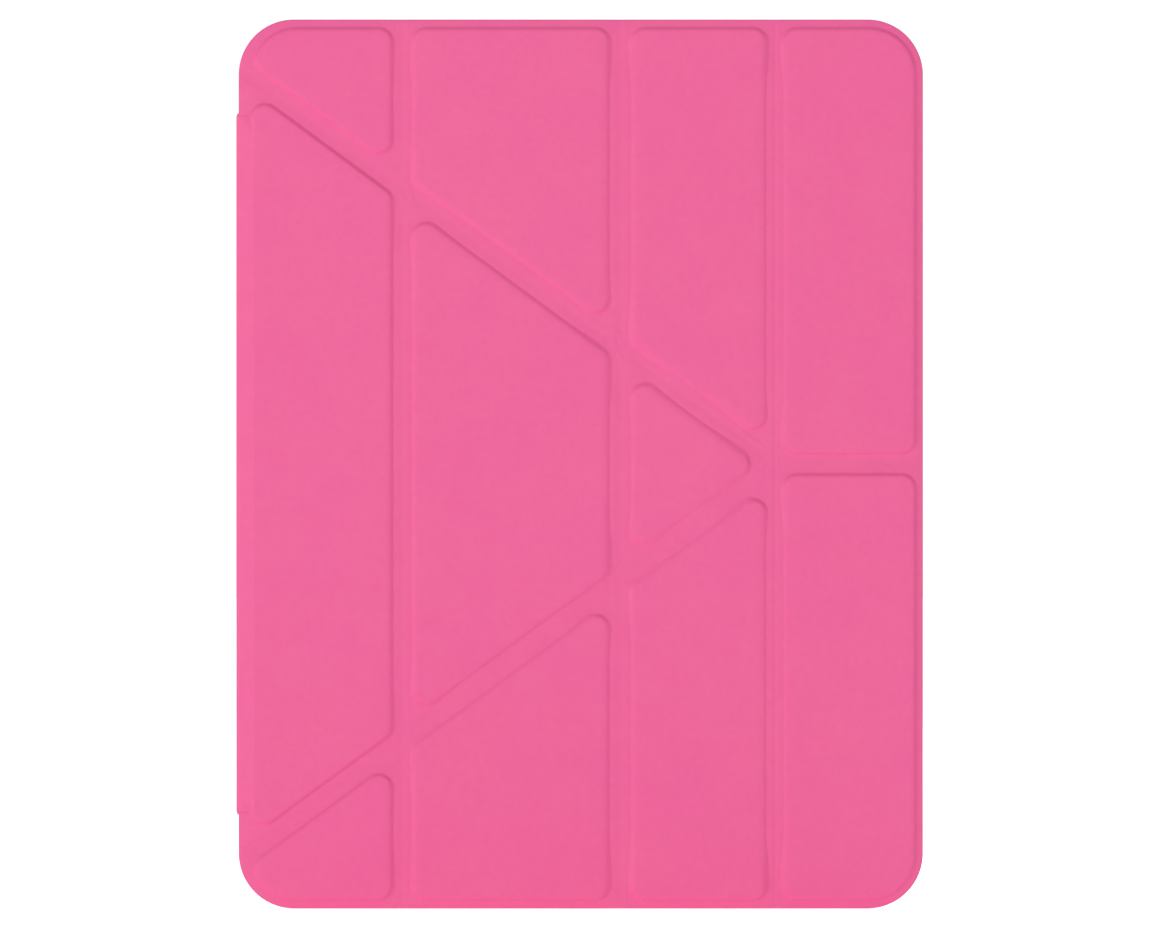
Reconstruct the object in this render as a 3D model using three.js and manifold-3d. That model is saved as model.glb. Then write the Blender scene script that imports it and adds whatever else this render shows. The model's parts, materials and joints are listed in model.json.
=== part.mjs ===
// Tablet case with a segmented folding front cover. Millimetres, +Z up.
// X runs to the viewer's right, the cover faces -Y, and the origin is the middle of the tray's back face.

import * as THREE from 'three';
import { mergeVertices } from 'three/addons/utils/BufferGeometryUtils.js';
import Module from 'manifold-3d';

// Tablet the case is made for
const tabletWidth = 214.9;
const tabletHeight = 280.6;
const tabletThickness = 6.4;
const tabletCornerRadius = 16;

// Tray
const tabletClearance = 0.15;
const trayWall = 1.2;
const trayBack = 1.6;
const lipThickness = 0.9;
const lipOverhang = 1.0;
const trayBackRadius = 2.0;
const cameraWindow = 38;
const cameraWindowRadius = 11;
const cameraFromEdge = 30;
const cameraRimWidth = 1.6;
const cameraRimHeight = 0.5;
const speakerOffset = 48;
const speakerLength = 32;
const speakerHeight = 2.4;
const portLength = 15;
const portHeight = 5;
const microphoneDiameter = 1.8;
const stylusWindowLength = 70;
const stylusWindowHeight = 4.4;

// Buttons
const buttonHeight = 2.8;
const buttonProud = 0.25;
const buttonFlange = 1.0;
const buttonFlangeThickness = 0.4;
const buttonPocketDepth = 0.6;
const buttonClearance = 0.3;
const powerLength = 15;
const powerX = 78;
const volumeLength = 12;
const volumeUpHeight = 108;
const volumeDownHeight = 92;

// Cover
const coverWidth = 218.2;
const coverHeight = 283.5;
const coverCornerRadius = 17.6;
const coverGap = 0.2;
const liningThickness = 0.5;
const skinThickness = 0.7;
const boardThickness = 1.0;
const boardPocketDepth = 1.1;
const boardClearance = 0.3;
const padWrap = 0.8;
const padCornerRadius = 4.5;
const padEdgeBevel = 0.5;
const creaseGap = 0.15;

// Creases of the cover, measured from the middle of the cover
const groove1X = -56.9;
const groove1Half = 3.2;
const groove2X = 12.6;
const groove2Half = 3.5;
const groove3Left = 59.3;
const groove3Right = 64.5;
const crease3InnerX = 61.0;
const crease3InnerGap = 0.3;
const crease3OuterX = 62.9;
const middleGrooveHalf = 3.35;
const diagonalTipX = 62.3;
const diagonalSlope = 0.735;
const diagonalGrooveInner = 3.25;
const diagonalGrooveOuter = 3.8;
const padFromLeft = 3.9;
const padFromRight = 2.4;
const padFromTop = 2.8;

// Spine and the flap that anchors it to the back of the tray
const spineLength = 222.8;
const spineOuterX = -109.9;
const spineSkin = 0.5;
const spineBoard = 0.6;
const spineLining = 0.3;
const spineBackGap = 0.9;
const spineEndChamfer = 1.0;
const spineRecessGap = 0.2;
const flapWidth = 30;
const flapThickness = 0.75;
const flapRecess = 0.8;
const flapCornerRadius = 6;

// Magnets
const magnetDiameter = 8;
const magnetThickness = 0.9;
const magnetClearance = 0.3;

// Depths from the back plane to each layer's outer face
const bayDepth = trayBack + tabletThickness;
const lipFace = bayDepth + lipThickness;
const liningInner = lipFace + coverGap;
const liningOuter = liningInner + liningThickness;
const webFace = liningOuter + skinThickness;
const pocketFace = liningOuter + boardPocketDepth;
const padFace = pocketFace + skinThickness;
const bayHalfWidth = tabletWidth / 2 + tabletClearance;
const bayHalfHeight = tabletHeight / 2 + tabletClearance;
const trayHalfWidth = bayHalfWidth + trayWall;
const trayHalfHeight = bayHalfHeight + trayWall;
const trayRadius = tabletCornerRadius + tabletClearance + trayWall;
const past = 5;

const pinkSkin = { color: 0xe0508a, roughness: 0.55, metalness: 0 };
const pinkLining = { color: 0xd9668f, roughness: 0.95, metalness: 0 };
const pinkTray = { color: 0xdd5f92, roughness: 0.5, metalness: 0 };
const pinkButton = { color: 0xd4568a, roughness: 0.45, metalness: 0 };
const greyBoard = { color: 0x8c8a86, roughness: 0.9, metalness: 0 };
const magnetSteel = { color: 0xb9bcc0, roughness: 0.35, metalness: 0.9 };

const wasm = await Module();
wasm.setup();

const solidFrom = (geometry) => {
  geometry.deleteAttribute('normal');
  geometry.deleteAttribute('uv');
  const merged = mergeVertices(geometry, 1e-4);
  const vertProperties = new Float32Array(merged.attributes.position.array);
  const triVerts = new Uint32Array(merged.index.array);
  return new wasm.Manifold(new wasm.Mesh({ numProp: 3, vertProperties, triVerts }));
};

const geometryFrom = (solid) => {
  const mesh = solid.getMesh();
  const geometry = new THREE.BufferGeometry();
  geometry.setAttribute('position', new THREE.BufferAttribute(new Float32Array(mesh.vertProperties), 3));
  geometry.setIndex(new THREE.BufferAttribute(new Uint32Array(mesh.triVerts), 1));
  return geometry;
};

// A flat piece cut to an outline in X and Z, from depth `inner` to depth `outer` behind the back plane.
const slab = (points, inner, outer) => {
  const depth = outer - inner;
  const geometry = new THREE.ExtrudeGeometry(new THREE.Shape(points), { depth, bevelEnabled: false });
  geometry.rotateX(Math.PI / 2);
  geometry.translate(0, -inner, 0);
  return solidFrom(geometry);
};

// The same with both faces' edges rounded off inside the outline.
const softSlab = (points, inner, outer, bevel, segments) => {
  const geometry = new THREE.ExtrudeGeometry(new THREE.Shape(points), {
    depth: outer - inner - 2 * bevel,
    bevelEnabled: true,
    bevelThickness: bevel,
    bevelSize: bevel,
    bevelOffset: -bevel,
    bevelSegments: segments,
  });
  geometry.rotateX(Math.PI / 2);
  geometry.translate(0, -inner - bevel, 0);
  return solidFrom(geometry);
};

const block = (x0, x1, depth0, depth1, z0, z1) => {
  const geometry = new THREE.BoxGeometry(x1 - x0, depth1 - depth0, z1 - z0);
  geometry.translate((x0 + x1) / 2, -(depth0 + depth1) / 2, (z0 + z1) / 2);
  return solidFrom(geometry);
};

const arcPoints = (x, z, radius, from, to, steps) => {
  const points = [];
  for (let i = 0; i <= steps; i += 1) {
    const angle = from + ((to - from) * i) / steps;
    points.push(new THREE.Vector2(x + radius * Math.cos(angle), z + radius * Math.sin(angle)));
  }
  return points;
};

const roundedRectangle = (left, right, bottom, top, radius, steps) => [
  ...arcPoints(right - radius, top - radius, radius, 0, Math.PI / 2, steps),
  ...arcPoints(left + radius, top - radius, radius, Math.PI / 2, Math.PI, steps),
  ...arcPoints(left + radius, bottom + radius, radius, Math.PI, 1.5 * Math.PI, steps),
  ...arcPoints(right - radius, bottom + radius, radius, 1.5 * Math.PI, 2 * Math.PI, steps),
];

const centredRectangle = (halfWidth, halfHeight, radius, steps) =>
  roundedRectangle(-halfWidth, halfWidth, -halfHeight, halfHeight, radius, steps);

// One side of a crease line: points inside satisfy nx * x + nz * z <= reach.
const side = (nx, nz, reach, gap, margin) => ({ nx, nz, reach, gap, margin });
const opposite = (line) => side(-line.nx, -line.nz, -line.reach, line.gap, line.margin);

const tilt = Math.atan(diagonalSlope);
const tipReach = diagonalTipX * Math.sin(tilt);
const leftOf1 = side(1, 0, groove1X, creaseGap, groove1Half);
const rightOf1 = opposite(leftOf1);
const leftOf2 = side(1, 0, groove2X, creaseGap, groove2Half);
const rightOf2 = opposite(leftOf2);
const leftOf3 = side(1, 0, crease3InnerX, crease3InnerGap, crease3InnerX - groove3Left);
const rightOf3 = side(-1, 0, -crease3OuterX, creaseGap, groove3Right - crease3OuterX);
const underUpper = side(Math.sin(tilt), Math.cos(tilt), tipReach, creaseGap, diagonalGrooveInner);
const overUpper = side(-underUpper.nx, -underUpper.nz, -tipReach, creaseGap, diagonalGrooveOuter);
const overLower = side(Math.sin(tilt), -Math.cos(tilt), tipReach, creaseGap, diagonalGrooveInner);
const underLower = side(-overLower.nx, -overLower.nz, -tipReach, creaseGap, diagonalGrooveOuter);
const overMiddle = side(0, -1, 0, creaseGap, middleGrooveHalf);
const underMiddle = side(0, 1, 0, creaseGap, middleGrooveHalf);

// Right-hand ends of the upright strips, butted against the panels they lead to.
const butted = (line) => side(line.nx, line.nz, line.reach, line.margin, line.margin);
const rightOf1Butted = butted(rightOf1);
const rightOf2Butted = butted(rightOf2);

// Cuts a convex outline back to `inset` inside a side.
const clip = (points, line, inset) => {
  const limit = line.reach - inset;
  const distance = (p) => line.nx * p.x + line.nz * p.y - limit;
  const kept = [];
  points.forEach((point, i) => {
    const next = points[(i + 1) % points.length];
    const here = distance(point);
    const there = distance(next);
    if (here <= 0) {
      kept.push(point);
    }
    if (here * there < 0) {
      kept.push(point.clone().lerp(next, here / (here - there)));
    }
  });
  return kept;
};

// Removes corner points closer together than a hundredth of a millimetre.
const distinct = (points) =>
  points.filter((point, i) => point.distanceTo(points[(i + points.length - 1) % points.length]) > 0.01);

// Grows a convex outline by `radius`, rounding every corner.
const roundOut = (points, radius) => {
  const grown = [];
  points.forEach((point, i) => {
    const before = points[(i + points.length - 1) % points.length];
    const after = points[(i + 1) % points.length];
    const into = Math.atan2(point.y - before.y, point.x - before.x) - Math.PI / 2;
    const out = Math.atan2(after.y - point.y, after.x - point.x) - Math.PI / 2;
    const turn = (out - into + 4 * Math.PI) % (2 * Math.PI);
    const steps = Math.max(1, Math.ceil(turn / (Math.PI / 10)));
    grown.push(...arcPoints(point.x, point.y, radius, into, into + turn, steps));
  });
  return distinct(grown);
};

const patchOutline = (sides) => {
  let points = centredRectangle(coverWidth / 2, coverHeight / 2, coverCornerRadius, 10);
  sides.forEach((line) => {
    points = clip(points, line, line.gap);
  });
  return distinct(points);
};

const padOutline = (sides, inset) => {
  const shrink = inset + padCornerRadius;
  let points = roundedRectangle(
    -coverWidth / 2 + padFromLeft + shrink,
    coverWidth / 2 - padFromRight - shrink,
    -coverHeight / 2 + padFromTop + shrink,
    coverHeight / 2 - padFromTop - shrink,
    coverCornerRadius - padFromTop - shrink,
    6,
  );
  sides.forEach((line) => {
    points = clip(points, line, line.margin + shrink);
  });
  return roundOut(distinct(points), padCornerRadius);
};

const panels = {
  col1_top: [leftOf1, overUpper],
  col1_mid: [leftOf1, underUpper, overLower],
  col1_bottom: [leftOf1, underLower],
  col2_top: [rightOf1Butted, leftOf2, overUpper],
  col2_mid: [rightOf1, leftOf2, underUpper, overLower],
  col2_bottom: [rightOf1Butted, leftOf2, underLower],
  col3_top: [rightOf2Butted, leftOf3, overUpper],
  col3_mid: [rightOf2, underUpper, overLower],
  col3_bottom: [rightOf2Butted, leftOf3, underLower],
  col4_top: [rightOf3, overMiddle],
  col4_bottom: [rightOf3, underMiddle],
};

// Strips left in the upright grooves outside the middle row
const stripEnd = (x) => side(1, 0, x, creaseGap, 0);
const pastInner3 = opposite(leftOf3);
const beforeOuter3 = opposite(rightOf3);
const strips = {
  v1_top_web: [rightOf1, stripEnd(groove1X + groove1Half), overUpper],
  v1_bottom_web: [rightOf1, stripEnd(groove1X + groove1Half), underLower],
  v2_top_web: [rightOf2, stripEnd(groove2X + groove2Half), overUpper],
  v2_bottom_web: [rightOf2, stripEnd(groove2X + groove2Half), underLower],
  v3_top_web: [pastInner3, beforeOuter3, overUpper, overMiddle],
  v3_bottom_web: [pastInner3, beforeOuter3, underLower, underMiddle],
};

const magnets = {
  col4_top_magnet_upper: ['col4_top', 98, 100],
  col4_top_magnet_lower: ['col4_top', 98, 30],
  col4_bottom_magnet_upper: ['col4_bottom', 98, -30],
  col4_bottom_magnet_lower: ['col4_bottom', 98, -100],
  col3_top_magnet: ['col3_top', 38, 126],
  col3_bottom_magnet: ['col3_bottom', 38, -126],
  col1_mid_magnet_upper: ['col1_mid', -92, 60],
  col1_mid_magnet_lower: ['col1_mid', -92, -60],
};

const disc = (x, z, diameter, inner, outer) =>
  slab(arcPoints(x, z, diameter / 2, 0, (2 * Math.PI * 23) / 24, 23), inner, outer);

const object = new THREE.Group();

const addPiece = (name, solid, look) => {
  const mesh = new THREE.Mesh(geometryFrom(solid), new THREE.MeshStandardMaterial(look));
  mesh.name = name;
  object.add(mesh);
};

// Cover panels: a skin raised over a board, with a lining behind both
const behindSkin = block(-coverWidth, coverWidth, 0, liningOuter, -coverHeight, coverHeight);
Object.entries(panels).forEach(([name, sides]) => {
  const patch = patchOutline(sides);
  const web = slab(patch, liningOuter, webFace);
  const pad = softSlab(padOutline(sides, 0), liningInner, padFace, padEdgeBevel, 2);
  const pocket = slab(padOutline(sides, padWrap), liningInner, pocketFace);
  addPiece(`${name}_skin`, web.add(pad).subtract(pocket).subtract(behindSkin), pinkSkin);

  const boardInner = liningOuter + (boardPocketDepth - boardThickness) / 2;
  let board = slab(padOutline(sides, padWrap + boardClearance), boardInner, boardInner + boardThickness);
  Object.values(magnets).forEach(([panel, x, z]) => {
    if (panel === name) {
      board = board.subtract(disc(x, z, magnetDiameter + 2 * magnetClearance, 0, padFace + past));
    }
  });
  addPiece(`${name}_board`, board, greyBoard);
  addPiece(`${name}_lining`, slab(patch, liningInner, liningOuter), pinkLining);
});

Object.entries(strips).forEach(([name, sides]) => {
  addPiece(name, slab(patchOutline(sides), liningInner, webFace), pinkSkin);
});

Object.entries(magnets).forEach(([name, [, x, z]]) => {
  const inner = liningOuter + (boardPocketDepth - magnetThickness) / 2;
  addPiece(name, disc(x, z, magnetDiameter, inner, inner + magnetThickness), magnetSteel);
});

// Spine: three layers standing along the tray's left side, with chamfered ends
const spineHalf = spineLength / 2;
const spineEnds = new THREE.Shape([
  new THREE.Vector2(spineOuterX, spineHalf - spineEndChamfer),
  new THREE.Vector2(spineOuterX, -spineHalf + spineEndChamfer),
  new THREE.Vector2(spineOuterX + spineEndChamfer, -spineHalf),
  new THREE.Vector2(-trayHalfWidth + past, -spineHalf),
  new THREE.Vector2(-trayHalfWidth + past, spineHalf),
  new THREE.Vector2(spineOuterX + spineEndChamfer, spineHalf),
]);
const spineBlank = slab(spineEnds.getPoints(), spineBackGap, lipFace);
const spineLayer = (from, to) =>
  spineBlank.intersect(block(spineOuterX + from, spineOuterX + to, 0, padFace, -spineLength, spineLength));
const spineBoardEnd = spineSkin + spineBoard;
const spineThickness = spineBoardEnd + spineLining;
addPiece('spine_skin', spineLayer(0, spineSkin), pinkSkin);
addPiece('spine_board', spineLayer(spineSkin, spineBoardEnd), greyBoard);
addPiece('spine_lining', spineLayer(spineBoardEnd, spineThickness), pinkLining);

// Tray
const spineRecessX = spineOuterX + spineThickness + spineRecessGap;
const recessHalf = spineHalf + spineEndChamfer;
const trayBlank = softSlab(
  centredRectangle(trayHalfWidth, trayHalfHeight, trayRadius, 10),
  0,
  lipFace + trayBackRadius + past,
  trayBackRadius,
  4,
);
const frontTrim = block(-coverWidth, coverWidth, lipFace, 2 * padFace + past, -coverHeight, coverHeight);
const bayOutline = (inset) =>
  centredRectangle(bayHalfWidth - inset, bayHalfHeight - inset, trayRadius - trayWall - inset, 10);
const bay = slab(bayOutline(0), trayBack, bayDepth);
const lipOpening = slab(bayOutline(lipOverhang), trayBack, padFace);
const spineRecess = block(-coverWidth, spineRecessX, -past, padFace, -recessHalf, recessHalf);
const flapLeft = spineRecessX;
const flapRight = flapLeft + flapWidth;
const flapRecessCut = slab(
  roundedRectangle(
    flapLeft - past - flapCornerRadius,
    flapRight + tabletClearance,
    -recessHalf,
    recessHalf,
    flapCornerRadius,
    6,
  ),
  -past,
  flapRecess,
);

const cameraX = bayHalfWidth - cameraFromEdge;
const cameraZ = bayHalfHeight - cameraFromEdge;
const cameraOutline = (grow) =>
  roundedRectangle(
    cameraX - cameraWindow / 2 - grow,
    cameraX + cameraWindow / 2 + grow,
    cameraZ - cameraWindow / 2 - grow,
    cameraZ + cameraWindow / 2 + grow,
    cameraWindowRadius + grow,
    6,
  );
const cameraRim = slab(cameraOutline(cameraRimWidth), -cameraRimHeight, trayBack);
const cameraCut = slab(cameraOutline(0), -past, trayBack + 1);

// A slot with round ends, standing in the XY plane and `depth` long along Z.
const slotSolid = (length, height, depth) => {
  const half = (length - height) / 2;
  const radius = height / 2;
  const points = [
    ...arcPoints(half, 0, radius, -Math.PI / 2, Math.PI / 2, 8),
    ...arcPoints(-half, 0, radius, Math.PI / 2, 1.5 * Math.PI, 8),
  ];
  return new THREE.ExtrudeGeometry(new THREE.Shape(points), { depth, bevelEnabled: false });
};
const slotDepth = trayBack + tabletThickness / 2;

// Slots through the top and bottom walls, and through the right wall, by their inner face and height.
const endSlot = (x, z, length, height, depth) => {
  const geometry = slotSolid(length, height, depth);
  geometry.translate(x, -slotDepth, z);
  return solidFrom(geometry);
};
const rightSlot = (x, z, length, height, depth) => {
  const geometry = slotSolid(length, height, depth);
  geometry.rotateZ(Math.PI / 2);
  geometry.rotateY(Math.PI / 2);
  geometry.rotateX(Math.PI / 2);
  geometry.translate(x, -slotDepth, z);
  return solidFrom(geometry);
};

const wallCut = trayWall + 2;
const topInner = bayHalfHeight - 1;
const bottomInner = -bayHalfHeight - trayWall - 1;
const rightInner = bayHalfWidth - 1;
const wallCuts = [
  endSlot(-speakerOffset, topInner, speakerLength, speakerHeight, wallCut),
  endSlot(speakerOffset, topInner, speakerLength, speakerHeight, wallCut),
  endSlot(-speakerOffset, bottomInner, speakerLength, speakerHeight, wallCut),
  endSlot(speakerOffset, bottomInner, speakerLength, speakerHeight, wallCut),
  endSlot(0, bottomInner, portLength, portHeight, wallCut),
  endSlot(0, topInner, microphoneDiameter + 0.01, microphoneDiameter, wallCut),
  rightSlot(rightInner, 0, stylusWindowLength, stylusWindowHeight, wallCut),
];

// Each button is a round-ended cap through the wall with a wider flange in a pocket behind it.
const flangeGap = (buttonPocketDepth - buttonFlangeThickness) / 2;
const capDepth = trayWall + buttonProud - flangeGap - buttonFlangeThickness;
const buttonParts = (slot, x, z, dx, dz, length) => {
  const at = (step) => [x + dx * step, z + dz * step];
  const flangeStart = at(flangeGap);
  const capStart = at(flangeGap + buttonFlangeThickness);
  const below = at(-1);
  const flangeLength = length + buttonFlange;
  const flangeHeight = buttonHeight + buttonFlange;
  const grow = 2 * buttonClearance;
  const flange = slot(...flangeStart, flangeLength, flangeHeight, buttonFlangeThickness);
  const cap = slot(...capStart, length, buttonHeight, capDepth);
  const pocket = slot(...below, flangeLength + grow, flangeHeight + grow, 1 + buttonPocketDepth);
  const hole = slot(...below, length + grow, buttonHeight + grow, wallCut);
  return { button: flange.add(cap), cut: pocket.add(hole) };
};
const powerParts = buttonParts(endSlot, powerX, bayHalfHeight, 0, 1, powerLength);
const volumeUpParts = buttonParts(rightSlot, bayHalfWidth, volumeUpHeight, 1, 0, volumeLength);
const volumeDownParts = buttonParts(rightSlot, bayHalfWidth, volumeDownHeight, 1, 0, volumeLength);

let tray = trayBlank
  .subtract(frontTrim)
  .add(cameraRim)
  .subtract(bay)
  .subtract(lipOpening)
  .subtract(spineRecess)
  .subtract(flapRecessCut)
  .subtract(cameraCut);
[...wallCuts, powerParts.cut, volumeUpParts.cut, volumeDownParts.cut].forEach((cut) => {
  tray = tray.subtract(cut);
});
addPiece('rear_shell', tray, pinkTray);
addPiece('power_button', powerParts.button, pinkButton);
addPiece('volume_up_button', volumeUpParts.button, pinkButton);
addPiece('volume_down_button', volumeDownParts.button, pinkButton);

const flap = roundedRectangle(
  flapLeft - past - flapCornerRadius,
  flapRight,
  -spineHalf,
  spineHalf,
  flapCornerRadius,
  6,
);
const flapTrim = block(-coverWidth, flapLeft, -past, padFace, -coverHeight, coverHeight);
addPiece('rear_anchor_flap', slab(flap, 0, flapThickness).subtract(flapTrim), pinkSkin);

export default object;
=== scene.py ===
"""Looks of the tablet case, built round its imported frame. Lengths are millimetres until a mesh is made."""

import json
import math
from dataclasses import dataclass
from typing import NamedTuple

import bmesh
import bpy
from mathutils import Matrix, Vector
from mathutils.geometry import tessellate_polygon


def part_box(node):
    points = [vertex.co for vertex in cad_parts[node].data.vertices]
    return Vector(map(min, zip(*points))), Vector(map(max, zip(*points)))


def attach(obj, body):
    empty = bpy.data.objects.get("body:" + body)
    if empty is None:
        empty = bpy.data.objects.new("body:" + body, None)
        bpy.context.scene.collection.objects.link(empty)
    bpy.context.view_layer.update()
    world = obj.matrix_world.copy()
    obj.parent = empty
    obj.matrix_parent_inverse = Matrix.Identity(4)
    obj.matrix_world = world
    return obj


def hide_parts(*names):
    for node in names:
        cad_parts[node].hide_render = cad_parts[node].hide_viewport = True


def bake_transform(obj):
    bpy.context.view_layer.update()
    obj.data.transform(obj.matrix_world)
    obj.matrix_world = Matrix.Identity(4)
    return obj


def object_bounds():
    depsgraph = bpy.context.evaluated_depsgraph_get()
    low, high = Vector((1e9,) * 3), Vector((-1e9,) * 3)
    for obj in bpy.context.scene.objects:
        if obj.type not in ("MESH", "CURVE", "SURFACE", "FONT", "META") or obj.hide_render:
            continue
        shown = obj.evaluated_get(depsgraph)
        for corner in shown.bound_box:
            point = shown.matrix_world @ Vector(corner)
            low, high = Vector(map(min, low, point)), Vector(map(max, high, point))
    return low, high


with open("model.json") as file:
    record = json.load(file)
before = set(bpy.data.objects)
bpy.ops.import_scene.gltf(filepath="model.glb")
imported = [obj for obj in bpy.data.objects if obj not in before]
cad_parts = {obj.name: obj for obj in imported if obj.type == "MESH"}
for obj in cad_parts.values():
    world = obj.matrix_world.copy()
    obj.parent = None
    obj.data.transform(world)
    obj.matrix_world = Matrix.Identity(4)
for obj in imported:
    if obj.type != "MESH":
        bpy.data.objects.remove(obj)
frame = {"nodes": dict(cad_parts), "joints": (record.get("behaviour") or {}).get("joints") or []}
cad_low, cad_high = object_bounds()

MM = 1000.0
joints = {j["name"]: j for j in frame["joints"]}


def joint_x(name):
    return joints[name]["pos_m"][0] * MM


def depth_of(node, outer):
    """How far a node's outer (front) or inner face lies in front of the tray's back plane."""
    low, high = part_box(node)
    return -low.y * MM if outer else -high.y * MM


# ---------------------------------------------------------------- sizes
# The cover's outline, its layers by depth, and its creases.
COVER_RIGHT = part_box("col4_top_skin")[1].x * MM
COVER_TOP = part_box("col4_top_skin")[1].z * MM
COVER_RADIUS = 17.6
CORNER_X, CORNER_Z = COVER_RIGHT - COVER_RADIUS, COVER_TOP - COVER_RADIUS
LINING_IN = depth_of("col4_top_lining", False)
LINING_OUT = depth_of("col4_top_skin", False)
WEB_FACE = depth_of("v1_top_web", True)
PAD_FACE = depth_of("col4_top_skin", True)
GROOVE_1 = joint_x("roll_fold_1")
GROOVE_2 = joint_x("roll_fold_2")
CREASE_3_IN = joint_x("v3_top_fold")
CREASE_3_OUT = joint_x("roll_fold_3")
TIP_X = joint_x("stand_fold")
SLOPE = 0.735
TILT = math.atan(SLOPE)
# Half widths of the grooves, and the margins between the pads and the cover's outline.
HALF_1, HALF_2, HALF_MIDDLE = 3.2, 3.5, 3.35
DIAGONAL_INNER, DIAGONAL_OUTER = 3.25, 3.8
GROOVE_3_LEFT, GROOVE_3_RIGHT = 59.3, 64.5
PAD_LEFT, PAD_RIGHT, PAD_TOP = 3.9, 2.4, 2.8
PAD_RADIUS = 4.5
FOOT = 0.75
SHOULDER_MIDDLE = 0.1
LAYER_GAP = 0.02
# How near two points are that count as one, and how near the outline's arcs and lines a point lies on them.
SAME_PLACE, ON_ARC, ON_LINE = 0.01, 0.05, 1e-3
# How a groove's skin lies: its hollow, the skirt that runs under the pads, and where it grows shallower.
GROOVE_COLUMNS = 12
UPRIGHT_STEPS, DIAGONAL_STEPS = 40, 36
HOLLOW = 0.12
SKIRT, SKIRT_SINK = 0.95, 0.06
LIFT_FROM, LIFT_TO = 9.0, 24.0
LIFT_1, LIFT_2, LIFT_3 = 0.25, 0.4, 0.55
LIFT_DIAGONAL = {"top": (0.0, 0.25, 0.4), "bottom": (0.15, 0.35, 0.5)}
# How much wider than usual the pads' shoulders are beside each groove.
SOFT_1, SOFT_2, SOFT_3 = 1.6, 2.0, 2.0
SOFT_DIAGONAL = {"top": (1.0, 1.45, 2.0), "bottom": (1.1, 1.7, 2.4)}
# A place near the left edge, from which the diagonals are followed out to the cover's outline.
NEAR_LEFT_EDGE = -95.0
OUTLINE_SEARCH, OUTLINE_HALVINGS = 60.0, 40
SPINE_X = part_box("spine_skin")[0].x * MM
SPINE_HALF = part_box("spine_skin")[1].z * MM
FRONT_EDGE = -COVER_RIGHT + PAD_LEFT - FOOT
NOTCH_END = SPINE_HALF + 0.25
# The rounded rim of the sheet: steps inwards from the outline, and how far each lies below the face.
RIM = ((0.0, 0.45), (0.06, 0.22), (0.2, 0.07), (0.42, 0.0))


# ---------------------------------------------------------------- materials
def srgb(r, g, b):
    """A colour given in display values 0..255, as linear light."""
    out = []
    for c in (r, g, b):
        c /= 255
        out.append(c / 12.92 if c <= 0.04045 else ((c + 0.055) / 1.055) ** 2.4)
    return (*out, 1.0)


class Nodes:
    """A few short ways to wire up a material."""

    def __init__(self, name):
        self.mat = bpy.data.materials.new(name)
        self.mat.use_nodes = True
        self.tree = self.mat.node_tree
        self.bsdf = self.tree.nodes["Principled BSDF"]
        self.place = self.new("ShaderNodeTexCoord").outputs["Object"]

    def new(self, kind, **values):
        node = self.tree.nodes.new(kind)
        for key, value in values.items():
            setattr(node, key, value)
        return node

    def link(self, a, b):
        self.tree.links.new(a, b)

    def noise(self, scale, detail=3.0, rough=0.5, stretch=None):
        node = self.new("ShaderNodeTexNoise")
        node.inputs["Scale"].default_value = scale
        node.inputs["Detail"].default_value = detail
        node.inputs["Roughness"].default_value = rough
        self.link(self.stretched(stretch), node.inputs["Vector"])
        return node.outputs["Fac"]

    def cells(self, scale):
        node = self.new("ShaderNodeTexVoronoi")
        node.inputs["Scale"].default_value = scale
        self.link(self.place, node.inputs["Vector"])
        return node.outputs["Distance"]

    def stretched(self, stretch):
        if stretch is None:
            return self.place
        node = self.new("ShaderNodeMapping")
        node.inputs["Scale"].default_value = stretch
        self.link(self.place, node.inputs["Vector"])
        return node.outputs["Vector"]

    def span(self, value, low, high, from_low=0.3, from_high=0.7):
        node = self.new("ShaderNodeMapRange")
        node.inputs["From Min"].default_value = from_low
        node.inputs["From Max"].default_value = from_high
        node.inputs["To Min"].default_value = low
        node.inputs["To Max"].default_value = high
        self.link(value, node.inputs["Value"])
        return node.outputs["Result"]

    def mix(self, fac, a, b):
        """Colour a going over to colour b; a may be an output or a plain colour, b is a plain colour."""
        node = self.new("ShaderNodeMix", data_type="RGBA")
        self.link(fac, node.inputs[0])
        if isinstance(a, tuple):
            node.inputs[6].default_value = a
        else:
            self.link(a, node.inputs[6])
        node.inputs[7].default_value = b
        return node.outputs[2]

    def bump(self, height, strength, distance, under=None):
        node = self.new("ShaderNodeBump")
        node.inputs["Strength"].default_value = strength
        node.inputs["Distance"].default_value = distance
        self.link(height, node.inputs["Height"])
        if under is not None:
            self.link(under, node.inputs["Normal"])
        return node.outputs["Normal"]

    def finish(self, colour, roughness, normal, **values):
        self.link(colour, self.bsdf.inputs["Base Color"])
        self.link(roughness, self.bsdf.inputs["Roughness"])
        self.link(normal, self.bsdf.inputs["Normal"])
        for key, value in values.items():
            self.bsdf.inputs[key.replace("_", " ")].default_value = value
        return self.mat


def coated_leather(name, base, warm, deep, shade=1.0):
    """Smooth pink coated leather: cloudy colour, pores and a fine pebble."""
    n = Nodes(name)
    clouds = n.span(n.noise(38, 4, 0.6), 0.0, 1.0, 0.35, 0.65)
    fine = n.span(n.noise(420, 3, 0.6), 0.0, 0.35, 0.3, 0.7)
    colour = n.mix(clouds, base, warm)
    colour = n.mix(fine, colour, deep)
    rough = n.span(n.noise(90, 3, 0.6), 0.5 * shade, 0.62 * shade)
    pebble = n.bump(n.cells(1500), 0.10, 0.00012)
    pores = n.bump(n.noise(3600, 2, 0.6), 0.10, 0.00006, pebble)
    waves = n.bump(n.noise(55, 2, 0.5), 0.06, 0.0012, pores)
    return n.finish(colour, rough, waves, Specular_IOR_Level=0.32, Sheen_Weight=0.06, Sheen_Roughness=0.5)


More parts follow.
